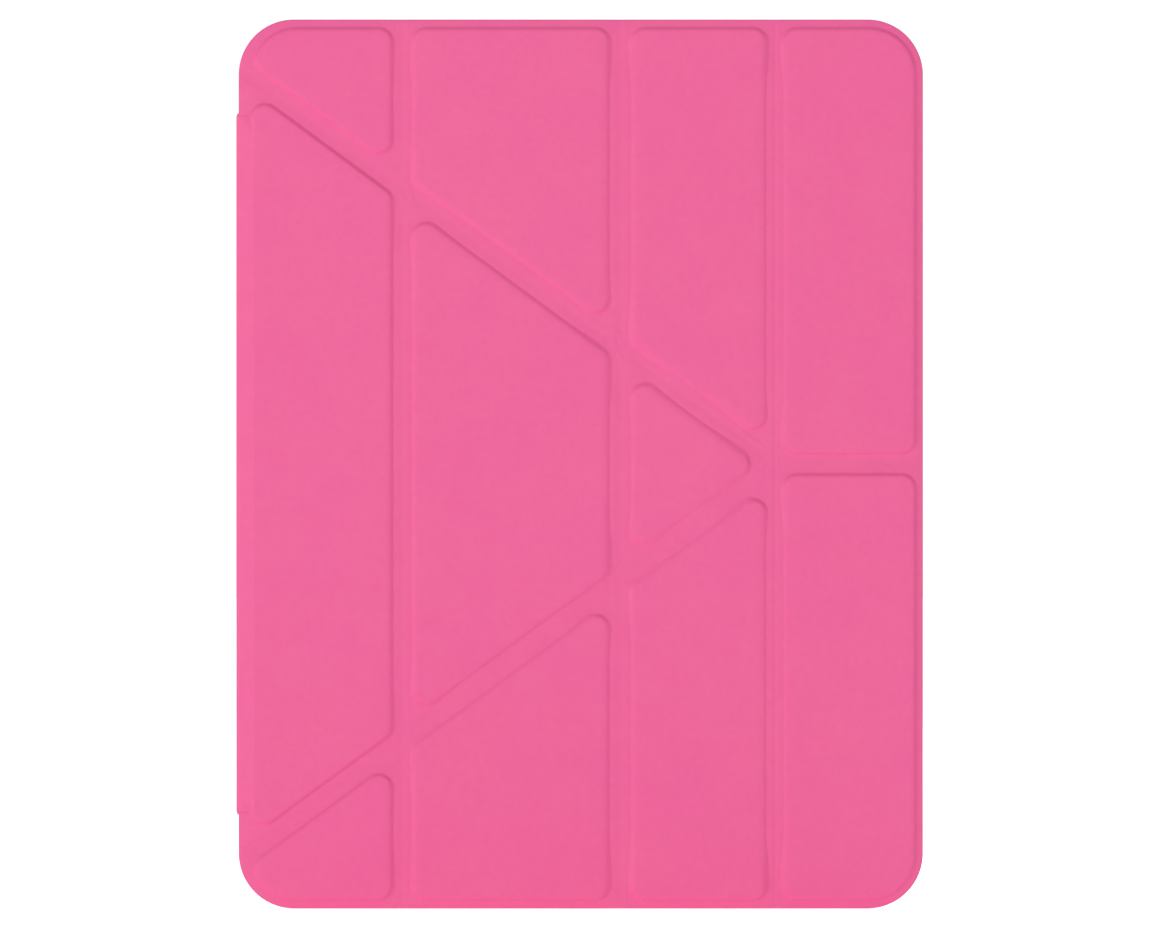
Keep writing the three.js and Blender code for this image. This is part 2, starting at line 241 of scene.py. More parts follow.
def microfibre(name, base, dark, light):
    """Brushed microfibre lining: short nap, faint brushing streaks."""
    n = Nodes(name)
    nap = n.span(n.noise(900, 4, 0.7), 0.0, 1.0)
    streak = n.span(n.noise(46, 3, 0.6, (1.0, 1.0, 2.5)), 0.0, 0.3)
    colour = n.mix(nap, base, dark)
    colour = n.mix(streak, colour, light)
    rough = n.span(n.noise(300), 0.88, 1.0)
    fuzz = n.bump(n.noise(2600, 4, 0.75), 0.35, 0.0002)
    return n.finish(colour, rough, fuzz, Specular_IOR_Level=0.12, Sheen_Weight=0.45, Sheen_Roughness=0.45)


def soft_plastic(name, base, dark, light):
    """Satin moulded soft plastic: spark-eroded texture, faint flow marks and rubbed patches."""
    n = Nodes(name)
    flow = n.span(n.noise(14, 3, 0.55, (1.0, 1.0, 0.4)), 0.0, 1.0)
    colour = n.mix(flow, base, dark)
    colour = n.mix(n.span(n.noise(120, 5, 0.7), 0.0, 0.12, 0.45, 0.75), colour, light)
    rough = n.span(n.noise(70, 4, 0.6), 0.38, 0.5)
    sparked = n.bump(n.noise(4200, 2, 0.5), 0.14, 0.00008)
    ripple = n.bump(n.noise(24, 2, 0.5), 0.05, 0.0015, sparked)
    return n.finish(
        colour, rough, ripple, Specular_IOR_Level=0.42, Subsurface_Weight=0.12, Subsurface_Scale=0.004
    )


def fibre_board(name):
    """Grey-brown pressed board."""
    n = Nodes(name)
    flecks = n.span(n.noise(700, 4, 0.7), 0.0, 1.0)
    colour = n.mix(flecks, srgb(168, 158, 146), srgb(120, 110, 100))
    rough = n.span(n.noise(200), 0.85, 0.98)
    return n.finish(colour, rough, n.bump(n.noise(1500, 3, 0.7), 0.3, 0.0002), Specular_IOR_Level=0.1)


def plated_steel(name):
    """Nickel-plated disc with fine turning marks."""
    n = Nodes(name)
    marks = n.span(n.noise(500, 3, 0.6, (1.0, 1.0, 12.0)), 0.0, 1.0)
    colour = n.mix(marks, srgb(206, 206, 204), srgb(170, 170, 172))
    rough = n.span(n.noise(260), 0.22, 0.38)
    return n.finish(colour, rough, n.bump(marks, 0.1, 0.0001), Metallic=1.0)


LEATHER = coated_leather(
    "pink_coated_leather", srgb(231, 94, 151), srgb(232, 97, 149), srgb(225, 86, 143),
)
LEATHER_EDGE = coated_leather(
    "pink_leather_edge", srgb(222, 70, 130), srgb(224, 74, 128), srgb(208, 60, 118), 0.9,
)
LINING = microfibre("pink_microfibre", srgb(222, 110, 150), srgb(210, 97, 138), srgb(233, 132, 167))
TRAY = soft_plastic("pink_soft_plastic", srgb(236, 98, 150), srgb(230, 90, 143), srgb(244, 132, 172))
BUTTON = soft_plastic(
    "pink_button_plastic", srgb(233, 92, 146), srgb(226, 82, 138), srgb(244, 132, 172),
)
BOARD = fibre_board("pressed_board")
STEEL = plated_steel("plated_steel")


# ---------------------------------------------------------------- outlines in X and Z
def arc(x, z, radius, start, end, steps):
    angles = [start + (end - start) * i / steps for i in range(steps + 1)]
    return [(x + radius * math.cos(a), z + radius * math.sin(a)) for a in angles]


def rounded_box(left, right, bottom, top, radius, steps):
    quarter = math.pi / 2
    corners = ((right, top, -1, -1), (left, top, 1, -1), (left, bottom, 1, 1), (right, bottom, -1, 1))
    points = []
    for i, (x, z, dx, dz) in enumerate(corners):
        points += arc(x + dx * radius, z + dz * radius, radius, i * quarter, (i + 1) * quarter, steps)
    return points


def foot_of(softness):
    """How far the pad's shoulder runs out past its middle line."""
    return SHOULDER_MIDDLE + (FOOT - SHOULDER_MIDDLE) * softness


class Side(NamedTuple):
    """One side of a crease: nx * x + nz * z <= reach is inside. The pad and the sheet below it stop short of
    it by their margins; softness says how much wider than usual the pad's shoulder is there."""

    nx: float
    nz: float
    reach: float
    pad_margin: float
    sheet_margin: float
    softness: float


def side(nx, nz, reach, margin, softness):
    """A side where the sheet reaches as far as the foot of the pad's shoulder."""
    return Side(nx, nz, reach, margin, margin - foot_of(softness), softness)


def flipped(line):
    return line._replace(nx=-line.nx, nz=-line.nz, reach=-line.reach)


TIP_REACH = TIP_X * math.sin(TILT)
LEFT_1 = side(1, 0, GROOVE_1, HALF_1, SOFT_1)
LEFT_2 = side(1, 0, GROOVE_2, HALF_2, SOFT_2)
LEFT_3 = side(1, 0, GROOVE_3_LEFT, 0, SOFT_3)
RIGHT_3 = side(-1, 0, -GROOVE_3_RIGHT, 0, SOFT_3)


def diagonal_side(mark, inward, softness):
    """A panel's side along the upper (mark 1) or lower (mark -1) diagonal; inward is for the middle row."""
    turn = 1 if inward else -1
    margin = DIAGONAL_INNER if inward else DIAGONAL_OUTER
    nx, nz = turn * math.sin(TILT), turn * mark * math.cos(TILT)
    return side(nx, nz, turn * TIP_REACH, margin, softness)


# The level groove has no strip of its own: the sheets on its two sides meet in its middle.
OVER_MIDDLE = Side(0, -1, 0, HALF_MIDDLE, 0, 1.0)
UNDER_MIDDLE = Side(0, 1, 0, HALF_MIDDLE, 0, 1.0)

PANELS = {"col4_top": (RIGHT_3, OVER_MIDDLE), "col4_bottom": (RIGHT_3, UNDER_MIDDLE)}
for name, outer_sides, middle_sides, upper, lower in zip(
    ("col1", "col2", "col3"),
    ((LEFT_1,), (flipped(LEFT_1), LEFT_2), (flipped(LEFT_2), LEFT_3)),
    ((LEFT_1,), (flipped(LEFT_1), LEFT_2), (flipped(LEFT_2),)),
    *SOFT_DIAGONAL.values(),
):
    PANELS[f"{name}_top"] = (*outer_sides, diagonal_side(1, False, upper))
    PANELS[f"{name}_mid"] = (*middle_sides, diagonal_side(1, True, upper), diagonal_side(-1, True, lower))
    PANELS[f"{name}_bottom"] = (*outer_sides, diagonal_side(-1, False, lower))


def clip(points, line, inset):
    """The part of an outline that lies at least inset inside a panel's side."""
    reach = line.reach - inset
    kept = []
    for (x0, z0), (x1, z1) in zip(points, points[1:] + points[:1]):
        d0, d1 = line.nx * x0 + line.nz * z0 - reach, line.nx * x1 + line.nz * z1 - reach
        if d0 <= 0:
            kept.append((x0, z0))
        if d0 * d1 < 0:
            t = d0 / (d0 - d1)
            kept.append((x0 + (x1 - x0) * t, z0 + (z1 - z0) * t))
    return [p for p, q in zip(kept, kept[-1:] + kept[:-1]) if math.dist(p, q) > SAME_PLACE]


FINEST_TURN = math.pi / 28


def grown(core, radius):
    """A convex outline grown by radius with round corners; every radius gives the same number of points.
    The radius is a number or a function of the direction it reaches in."""
    points = []
    for before, here, after in zip(core[-1:] + core[:-1], core, core[1:] + core[:1]):
        start = math.atan2(here[1] - before[1], here[0] - before[0]) - math.pi / 2
        stop = math.atan2(after[1] - here[1], after[0] - here[0]) - math.pi / 2
        turn = (stop - start) % (2 * math.pi)
        steps = max(1, math.ceil(turn / FINEST_TURN))
        for i in range(steps + 1):
            angle = start + turn * i / steps
            reach = radius(angle) if callable(radius) else radius
            points.append((here[0] + reach * math.cos(angle), here[1] + reach * math.sin(angle)))
    return points


def pulled_in(point, inset):
    """A point on the cover's outline moved inwards by inset; any other point stays."""
    x, z = point
    ax, az = abs(x), abs(z)
    if ax > CORNER_X and az > CORNER_Z:
        far = math.hypot(ax - CORNER_X, az - CORNER_Z)
        if far > COVER_RADIUS - ON_ARC:
            ax = CORNER_X + (ax - CORNER_X) * (far - inset) / far
            az = CORNER_Z + (az - CORNER_Z) * (far - inset) / far
    else:
        ax -= inset if ax > COVER_RIGHT - ON_LINE else 0
        az -= inset if az > COVER_TOP - ON_LINE else 0
    return math.copysign(ax, x), math.copysign(az, z)


# ---------------------------------------------------------------- meshes
def make(name, vertices, faces, materials, face_material=None, sharp=40):
    """A mesh object from points in millimetres as (x, depth in front of the back plane, z)."""
    mesh = bpy.data.meshes.new(name)
    mesh.from_pydata([(x / MM, -d / MM, z / MM) for x, d, z in vertices], [], faces)
    bm = bmesh.new()
    bm.from_mesh(mesh)
    bmesh.ops.recalc_face_normals(bm, faces=bm.faces)
    bm.to_mesh(mesh)
    bm.free()
    for material in materials:
        mesh.materials.append(material)
    if face_material:
        mesh.polygons.foreach_set("material_index", face_material)
    mesh.polygons.foreach_set("use_smooth", [True] * len(mesh.polygons))
    mesh.set_sharp_from_angle(angle=math.radians(sharp))
    made = bpy.data.objects.new(name, mesh)
    bpy.context.scene.collection.objects.link(made)
    return made


def joined_rings(count, first, second):
    return [(first + i, first + (i + 1) % count, second + (i + 1) % count, second + i) for i in range(count)]


def notch_for_spine(points):
    """Cuts the sheet back where the skin leaves it to roll round the spine."""
    out = []
    for (x0, z0), (x1, z1) in zip(points, points[1:] + points[:1]):
        out.append((x0, z0))
        if max(x0, x1) < -COVER_RIGHT + SAME_PLACE and z0 > NOTCH_END > -NOTCH_END > z1:
            out += [(x0, NOTCH_END), (FRONT_EDGE, NOTCH_END), (FRONT_EDGE, -NOTCH_END), (x0, -NOTCH_END)]
    return out


# The pad's shoulder: how far each ring reaches past the pad's outline, and its share of the pad's rise.
SHOULDER = (
    (0.75, 0.0), (0.55, 0.03), (0.35, 0.13), (0.12, 0.33), (-0.1, 0.57), (-0.35, 0.79),
    (-0.65, 0.92), (-1.0, 0.98), (-1.6, 1.0),
)
# A soft shoulder fades to the usual one round the pad's corners; the higher this power, the sooner.
SOFT_FALLOFF = 6
PAD_INSET = 4.1
PAD_CORNER_STEPS, SHEET_CORNER_STEPS = 10, 24
FACE_RINGS = (1.0, 0.97, 0.9, 0.75, 0.5, 0.25)
LINING_RIM = (
    (0.02, LINING_OUT - LAYER_GAP), (0.02, LINING_IN + 0.3), (0.12, LINING_IN + 0.1), (0.35, LINING_IN),
)


def panel_outlines(name, sides):
    """The pad's outline drawn in by its corner radius, and the outline of the sheet below it."""
    shrink = PAD_RADIUS
    core = rounded_box(
        -COVER_RIGHT + PAD_LEFT + shrink, COVER_RIGHT - PAD_RIGHT - shrink,
        -COVER_TOP + PAD_TOP + shrink, COVER_TOP - PAD_TOP - shrink,
        COVER_RADIUS - PAD_TOP - shrink, PAD_CORNER_STEPS,
    )
    sheet = rounded_box(-COVER_RIGHT, COVER_RIGHT, -COVER_TOP, COVER_TOP, COVER_RADIUS, SHEET_CORNER_STEPS)
    for line in sides:
        core = clip(core, line, line.pad_margin + shrink)
        sheet = clip(sheet, line, line.sheet_margin)
    if name == "col1_mid":
        sheet = notch_for_spine(sheet)
    return core, sheet


def softened(sides, offset):
    """The reach of one ring of the shoulder by direction: wider towards the softer sides."""

    def radius(angle):
        wider = 1.0
        for line in sides:
            facing = max(0.0, line.nx * math.cos(angle) + line.nz * math.sin(angle))
            wider += (line.softness - 1) * facing**SOFT_FALLOFF
        return PAD_RADIUS + SHOULDER_MIDDLE + (offset - SHOULDER_MIDDLE) * wider

    return radius


def pad_surface(core, sides):
    """The raised pad from the foot of its shoulder to its middle, in rings of count points."""
    vertices, faces = [], []
    count = len(grown(core, 1))
    for offset, height in SHOULDER:
        outline = grown(core, softened(sides, offset))
        vertices += [(x, WEB_FACE + (PAD_FACE - WEB_FACE) * height, z) for x, z in outline]
    for ring in range(len(SHOULDER) - 1):
        faces += joined_rings(count, ring * count, (ring + 1) * count)
    middle = (sum(p[0] for p in core) / len(core), sum(p[1] for p in core) / len(core))
    inner = grown(core, PAD_RADIUS - PAD_INSET)
    for share in FACE_RINGS:
        face = [[c + (edge - c) * share for edge, c in zip(point, middle)] for point in inner]
        vertices += [(x, PAD_FACE, z) for x, z in face]
        faces += joined_rings(count, len(vertices) - 2 * count, len(vertices) - count)
    faces.append(tuple(range(len(vertices) - count, len(vertices))))
    return vertices, faces, count


def build_panel_skin(name, core, sheet, sides):
    """A panel's skin: the raised pad, the thin sheet round it, and the sheet's rounded edge."""
    vertices, faces, count = pad_surface(core, sides)
    edge = len(sheet)
    rim_start = len(vertices)
    for inset, drop in reversed(RIM):
        vertices += [(x, WEB_FACE - drop, z) for x, z in (pulled_in(p, inset) for p in sheet)]
    vertices += [(x, LINING_OUT + LAYER_GAP, z) for x, z in sheet]
    loops = [vertices[rim_start : rim_start + edge], vertices[:count]]
    flat = [[Vector((x, z, 0)) for x, _, z in loop] for loop in loops]
    lookup = list(range(rim_start, rim_start + edge)) + list(range(count))
    faces += [tuple(lookup[i] for i in triangle) for triangle in tessellate_polygon(flat)]
    rounded = len(faces) + edge
    for ring in range(len(RIM)):
        faces += joined_rings(edge, rim_start + ring * edge, rim_start + (ring + 1) * edge)
    materials = [0] * rounded + [1] * (len(faces) - rounded) + [0]
    faces.append(tuple(range(len(vertices) - edge, len(vertices))))
    skin = make(f"{name}_pad_cover", vertices, faces, (LEATHER, LEATHER_EDGE), materials)
    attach(skin, name)
    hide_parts(f"{name}_skin")


def build_panel_lining(name, sheet):
    """A panel's lining: flat, with a rounded inner edge."""
    vertices, faces = [], []
    edge = len(sheet)
    for inset, depth in LINING_RIM:
        vertices += [(x, depth, z) for x, z in (pulled_in(p, inset) for p in sheet)]
    last = len(LINING_RIM) - 1
    for ring in range(last):
        faces += joined_rings(edge, ring * edge, (ring + 1) * edge)
    faces.append(tuple(range(edge)))
    faces.append(tuple(range(last * edge, len(vertices))))
    lining = make(f"{name}_microfibre", vertices, faces, (LINING,))
    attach(lining, name)
    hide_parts(f"{name}_lining")


def sheet_between(name, columns, outer, inner, material):
    """A thin sheet: columns of (x, z, drop) from one side to the other, closed by a flat inner face."""
    across, along = len(columns), len(columns[0])
    vertices = [(x, outer - drop, z) for column in columns for x, z, drop in column]
    vertices += [(x, inner, z) for column in columns for x, z, _ in column]
    faces = []
    layer = across * along
    for i in range(across - 1):
        for j in range(along - 1):
            a, b = i * along + j, (i + 1) * along + j
            faces.append((a, b, b + 1, a + 1))
            faces.append((layer + a, layer + a + 1, layer + b + 1, layer + b))
    border = list(range(along))
    border += [i * along + along - 1 for i in range(1, across)]
    border += [(across - 1) * along + j for j in range(along - 2, -1, -1)]
    border += [i * along for i in range(across - 2, 0, -1)]
    faces += [(a, b, layer + b, layer + a) for a, b in zip(border, border[1:] + border[:1])]
    return make(name, vertices, faces, (material,), sharp=50)


def column_between(start, end, rim_start, rim_end, steps):
    """Points from start to end in X and Z, with the cover's rounded rim at an end that lies on its edge."""
    length = math.dist(start, end)
    ux, uz = (end[0] - start[0]) / length, (end[1] - start[1]) / length
    low = list(RIM) if rim_start else [(0.0, 0.0)]
    high = [(length - inset, drop) for inset, drop in reversed(RIM)] if rim_end else [(length, 0.0)]
    first, last = low[-1][0], high[0][0]
    middle = [(first + (last - first) * i / steps, 0.0) for i in range(1, steps)]
    return [(start[0] + ux * s, start[1] + uz * s, drop) for s, drop in low + middle + high]


def eased(value, low, high):
    t = min(1.0, max(0.0, (value - low) / (high - low)))
    return t * t * (3 - 2 * t)


@dataclass
class Groove:
    """One stretch of a groove.

    line(offset) gives the two ends of the line at that offset across. low and high are the offsets of its
    two sides. axis is not used. rims tells which ends lie on the cover's
    edge, and steps how finely a line is divided. lift is how much shallower the groove gets away from its
    ends, softness that of the pads beside it, under how far the stretch lies below another one at its ends,
    and share which part of the whole groove's hollow it has.
    """

    line: object
    low: float
    high: float
    axis: tuple
    rims: tuple
    steps: int
    lift: float
    softness: float
    under: float = 0.0
    share: tuple = (0.0, 1.0)

    def column(self, offset):
        return column_between(*self.line(offset), *self.rims, self.steps)

    def skin_column(self, offset, dip):
        """The groove is shallower by lift away from its ends; dip is its hollow there, None beside it."""
        first, last = self.line(offset)
        points = []
        for x, z, drop in self.column(offset):
            raised = 1.0
            for end in (first, last):
                raised *= eased(math.dist((x, z), end), LIFT_FROM, LIFT_TO)
            sink = SKIRT_SINK * (1 - raised) if dip is None else dip
            points.append((x, z, drop + sink + self.under * (1 - raised) - self.lift * raised))
        return points


def build_groove(name, groove, stands_for=()):
    """The thin skin and lining of one groove; the skin runs on into the pads beside it."""
    start, end = groove.share
    low_gap, high_gap = (LAYER_GAP if start == 0.0 else 0.0), (LAYER_GAP if end == 1.0 else 0.0)
    shares = [i / GROOVE_COLUMNS for i in range(GROOVE_COLUMNS + 1)]
    stations = [groove.low + (groove.high - groove.low) * share for share in shares]
    hollow = [HOLLOW * math.sin(math.pi * (start + (end - start) * share)) ** 2 for share in shares]
    under_skin = [groove.low + low_gap, *stations[1:-1], groove.high - high_gap]
    flat = [[(x, z, 0.0) for x, z, _ in groove.column(offset)] for offset in under_skin]
    skirt = SKIRT * groove.softness
    if start == 0.0:
        stations, hollow = [groove.low - skirt, *stations], [None, *hollow]
    if end == 1.0:
        stations, hollow = [*stations, groove.high + skirt], [*hollow, None]
    sunk = [groove.skin_column(offset, dip) for offset, dip in zip(stations, hollow)]
    inner_face = LINING_OUT + LAYER_GAP + groove.under
    skin = sheet_between(f"{name}_groove_skin", sunk, WEB_FACE, inner_face, LEATHER)
    lining = sheet_between(
        f"{name}_groove_lining", flat, LINING_OUT - LAYER_GAP, LINING_IN + groove.under, LINING,
    )
    for piece, slot in ((skin, "cover_skin"), (lining, "cover_lining")):
        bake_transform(piece)
    if stands_for:
        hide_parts(*stands_for)


def diagonal_z(x):
    return (TIP_X - x) * SLOPE


def upright_groove(name, x0, x1, bodies_by_row, stands_for, lift, softness, share=(0.0, 1.0)):
    """Groove pieces for an upright crease; in the middle row they stop on the two diagonals."""
    for row, bodies in bodies_by_row.items():
        mark = {"top": 1, "mid": 0, "bottom": -1}[row]

        def line(x, mark=mark):
            cross = max(diagonal_z(x), 0.0) if x1 < CREASE_3_IN else 0.0
            return ((x, cross * mark), (x, COVER_TOP * mark)) if mark else ((x, -cross), (x, cross))

        axis = ((x0, -WEB_FACE, 0), (x1, -WEB_FACE, 0))
        rims = (False, mark != 0)
        groove = Groove(line, x0, x1, axis, rims, UPRIGHT_STEPS, lift, softness, share=share)
        build_groove(f"{name}_{row}", groove, stands_for.get(row, ()))


def on_outline(x, z, dx, dz):
    """Where a line that leaves the cover crosses its outline, found by halving a stretch that holds it."""
    low, high = 0.0, OUTLINE_SEARCH
    for _ in range(OUTLINE_HALVINGS):
        middle = (low + high) / 2
        px, pz = abs(x + dx * middle), abs(z + dz * middle)
        if px > CORNER_X and pz > CORNER_Z:
            outside = math.hypot(px - CORNER_X, pz - CORNER_Z) > COVER_RADIUS
        else:
            outside = px > COVER_RIGHT or pz > COVER_TOP
        low, high = (low, middle) if outside else (middle, high)
    return x + dx * low, z + dz * low


def diagonal_groove(name, x_left, x_right, mark, lift, softness):
    """Groove piece along one diagonal, between two upright lines, or from the cover's left edge."""
    ux, uz = -math.cos(TILT), math.sin(TILT)
    nx, nz = math.sin(TILT), math.cos(TILT)
    inside, outside = DIAGONAL_INNER - foot_of(softness), DIAGONAL_OUTER - foot_of(softness)

    def line(offset):
        def at(x):
            along = max((TIP_X + offset * nx - x) / math.cos(TILT), -offset * nz / uz)
            return TIP_X + ux * along + nx * offset, uz * along + nz * offset

        inner = at(x_right)
        outer = at(x_left) if x_left is not None else on_outline(*at(NEAR_LEFT_EDGE), ux, uz)
        return tuple((x, z * mark) for x, z in (outer, inner))

    z = TIP_X * SLOPE
    axis = [(nx * offset, -WEB_FACE, (z + nz * offset) * mark) for offset in (-inside, outside)]
    rims = (x_left is None, False)
    groove = Groove(line, -inside, outside, axis, rims, DIAGONAL_STEPS, lift, softness, LAYER_GAP)
    build_groove(name, groove)


for panel, sides in PANELS.items():
    core, sheet = panel_outlines(panel, sides)
    build_panel_skin(panel, core, sheet, sides)
    build_panel_lining(panel, sheet)

for name, middle, half, softness, (left, right), lift in (
    ("v1", GROOVE_1, HALF_1, SOFT_1, ("col1", "col2"), LIFT_1),
    ("v2", GROOVE_2, HALF_2, SOFT_2, ("col2", "col3"), LIFT_2),
):
    upright_groove(
        name, middle - half + foot_of(softness), middle + half - foot_of(softness),
        {
            "top": (f"{left}_top", f"{name}_top_web"),
            "mid": (f"{left}_mid", f"{right}_mid"),
            "bottom": (f"{left}_bottom", f"{name}_bottom_web"),
        },
        {"top": (f"{name}_top_web",), "bottom": (f"{name}_bottom_web",)}, lift, softness,
    )
# The third groove bends on two lines, so it is made in two halves that meet on the strip between them.
SPLIT_3 = (CREASE_3_IN + CREASE_3_OUT) / 2
upright_groove(
    "v3_inner", GROOVE_3_LEFT + foot_of(SOFT_3), SPLIT_3,
    {"top": ("col3_top", "v3_top_web"), "bottom": ("col3_bottom", "v3_bottom_web")},
    {"top": ("v3_top_web",), "bottom": ("v3_bottom_web",)}, LIFT_3, SOFT_3, (0.0, 0.5),
)
upright_groove(
    "v3_outer", SPLIT_3, GROOVE_3_RIGHT - foot_of(SOFT_3),
    {"top": ("v3_top_web", "col4_top"), "bottom": ("v3_bottom_web", "col4_bottom")},
    {}, LIFT_3, SOFT_3, (0.5, 1.0),
)
DIAGONAL_SPANS = (
    (1, None, GROOVE_1),
    (2, GROOVE_1, GROOVE_2),
    (3, GROOVE_2, GROOVE_3_LEFT + foot_of(SOFT_3)),
)
for mark, row in ((1, "top"), (-1, "bottom")):
    for (number, left, right), lift, softness in zip(DIAGONAL_SPANS, LIFT_DIAGONAL[row], SOFT_DIAGONAL[row]):
        bodies = (f"col{number}_mid", f"col{number}_{row}")
        diagonal_groove(f"diagonal_{row}_{number}", left, right, mark, lift, softness)


# ---------------------------------------------------------------- spine, rolled edges and anchor flap
# The strips' rounded ends: how far each row reaches past the spine, and how much of the thickness is gone.
STRIP_END = ((0.95, 0.97), (0.75, 0.6), (0.45, 0.25), (0.1, 0.06))
# Their rows of points: how far back from each end they lie, and how the straight middle is divided.
END_ROWS = (0.4, 1.2, 2.2, 3.2, 4.2, 6.0, 12.0)
MIDDLE_ROWS, MIDDLE_START = 14, 18.0
# Between these distances from the spine's end, what stands above the cover's web sinks to its level.
SETTLE_FROM, SETTLE_TO = -0.4, 5.0
FRONT_START = WEB_FACE - 3.8
FRONT_ROLL, BACK_ROLL = 1.3, 2.0
BAND_LEAN = 0.27
BAND_END = (-COVER_RIGHT + PAD_LEFT + 0.4, PAD_FACE - 0.2)
# The skin's thickness round the front and rear edges and on the spine's side, and that of skin and lining.
FRONT_SKIN, BACK_SKIN, SIDE_SKIN, WRAP = 0.6, 0.75, 0.5, 1.1
FLAP_START = FRONT_EDGE + 1.5
FLAP_RADIUS = 6.0
PRESSED_LINE = ((2.2, 0.0), (2.45, 0.16), (2.7, 0.0))


def upright_strip(name, outer, inner, material):
    """A strip standing along Z between two paths in (x, depth). What stands above the cover's thin web sinks
    down to it towards the strip's ends, which are rounded off."""
    half = [(SPINE_HALF + reach, sink) for reach, sink in STRIP_END]
    half += [(SPINE_HALF - back, 0.0) for back in END_ROWS]
    straight_half = SPINE_HALF - MIDDLE_START
    middle = [(straight_half * (1 - i / MIDDLE_ROWS), 0.0) for i in range(2 * MIDDLE_ROWS + 1)]
    rows = half + middle + [(-z, sink) for z, sink in reversed(half)]
    vertices, faces = [], []
    for z, sink in rows:
        near_end = 1 - eased(SPINE_HALF - abs(z), SETTLE_FROM, SETTLE_TO)
        for (x, d), (under_x, under_d) in zip(outer, inner):
            level = d - max(0.0, d - WEB_FACE) * near_end
            vertices.append((x + (under_x - x) * sink, level + (under_d - level) * sink, z))
        vertices += [(x, d, z) for x, d in reversed(inner)]
    loop = 2 * len(outer)
    for row in range(len(rows) - 1):
        faces += joined_rings(loop, row * loop, (row + 1) * loop)
    faces.append(tuple(range(loop)))
    faces.append(tuple(range((len(rows) - 1) * loop, len(rows) * loop)))
    return make(name, vertices, faces, (material,), sharp=50)


def straight(a, b, steps):
    """Points from a up to, but not including, b."""
    return [(a[0] + (b[0] - a[0]) * i / steps, a[1] + (b[1] - a[1]) * i / steps) for i in range(steps)]


def front_roll(radius, centre_depth, lean, side_x, end):
    """Up the spine's side, round its front edge and across to the first panel's pad."""
    centre_x = SPINE_X + FRONT_ROLL
    path = straight((side_x, FRONT_START), (side_x, centre_depth), 4)
    path += arc(centre_x, centre_depth, radius, math.pi, math.pi / 2 + lean, 12)
    return path + straight(end, path[-1], 5)[::-1]


def back_roll(inset):
    """Off the flap on the tray's back, round the rear edge and up the spine's side."""
    centre = SPINE_X + BACK_ROLL
    path = straight((FLAP_START, inset), (centre, inset), 4)
    path += arc(centre, BACK_ROLL, BACK_ROLL - inset, 1.5 * math.pi, math.pi, 12)
    return path + straight((SPINE_X + inset, 2 * BACK_ROLL), path[-1], 4)[::-1]


band_centre = BAND_END[1] - FRONT_ROLL * math.cos(BAND_LEAN) - math.tan(BAND_LEAN) * (
    BAND_END[0] - SPINE_X - FRONT_ROLL * (1 - math.sin(BAND_LEAN))
)
lining_centre = LINING_OUT - FRONT_ROLL + FRONT_SKIN
front_paths = (
    front_roll(FRONT_ROLL, band_centre, BAND_LEAN, SPINE_X, BAND_END),
    front_roll(FRONT_ROLL - FRONT_SKIN, lining_centre, 0.0, SPINE_X + FRONT_SKIN, (BAND_END[0], LINING_OUT)),
    front_roll(FRONT_ROLL - WRAP, lining_centre, 0.0, SPINE_X + WRAP, (FRONT_EDGE, LINING_OUT - 0.5)),
)
back_paths = (back_roll(0.0), back_roll(BACK_SKIN), back_roll(WRAP))
spine_path = straight((SPINE_X, 2 * BACK_ROLL), (SPINE_X, FRONT_START), 6) + [(SPINE_X, FRONT_START)]
spine_inside = [(x + SIDE_SKIN, d) for x, d in spine_path]

spine_cover = upright_strip("spine_cover", spine_path, spine_inside, LEATHER)
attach(spine_cover, "spine")
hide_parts("spine_skin")

# Two points for each roll: on the spine's side, just behind where the roll begins, and on the flat that it
# runs on to.
BEHIND = 0.2
FRONT_BEND = ((SPINE_X, BEHIND - FRONT_START, 0), (FRONT_EDGE - 0.1, -WEB_FACE, 0))
BACK_BEND = ((SPINE_X + BACK_ROLL + 1.8, 0, 0), (SPINE_X, BEHIND - 2 * BACK_ROLL, 0))
for name, paths, bodies, (start, end) in (
    ("front_roll", front_paths, ("spine", "col1_mid"), FRONT_BEND),
    ("back_roll", back_paths, ("shell", "spine"), BACK_BEND),
):
    skin = upright_strip(f"{name}_skin", paths[0], paths[1], LEATHER)
    lining = upright_strip(f"{name}_lining", paths[1], paths[2], LINING)
    for piece, slot in ((skin, "cover_skin"), (lining, "cover_lining")):
        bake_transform(piece)


def build_flap():
    """The bonded strip on the back: a softened edge and a pressed line along its free side."""
    flap_low, flap_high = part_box("rear_anchor_flap")
    left, right = FLAP_START, flap_high.x * MM
    top = SPINE_HALF
    depth = -flap_low.y * MM

    def outline(inset):
        r = FLAP_RADIUS - inset
        points = arc(right - inset - r, top - inset - r, r, math.pi / 2, 0, 12)
        points += arc(right - inset - r, -top + inset + r, r, 0, -math.pi / 2, 12)
        return [(left, top - inset)] + points + [(left, -top + inset)]

    # Each ring's inset from the flap's outline, and its depth in front of the back plane.
    rings = ((0.0, depth), (0.0, 0.3), (0.1, 0.1), (0.3, 0.0), *PRESSED_LINE, (5.0, 0.0))
    vertices, faces = [], []
    for inset, sunk in rings:
        vertices += [(x, sunk, z) for x, z in outline(inset)]
    count = len(outline(0))
    for ring in range(len(rings) - 1):
        faces += joined_rings(count, ring * count, (ring + 1) * count)
    faces.append(tuple(range(count)))
    faces.append(tuple(range((len(rings) - 1) * count, len(rings) * count)))
    flap = make("anchor_flap_cover", vertices, faces, (LEATHER,), sharp=60)
    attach(flap, "shell")
    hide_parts("rear_anchor_flap")


build_flap()


# ---------------------------------------------------------------- moulded pieces, softened from the frame
EDGE_ANGLE = math.radians(32)
FLAT_ANGLE = math.radians(1.0)


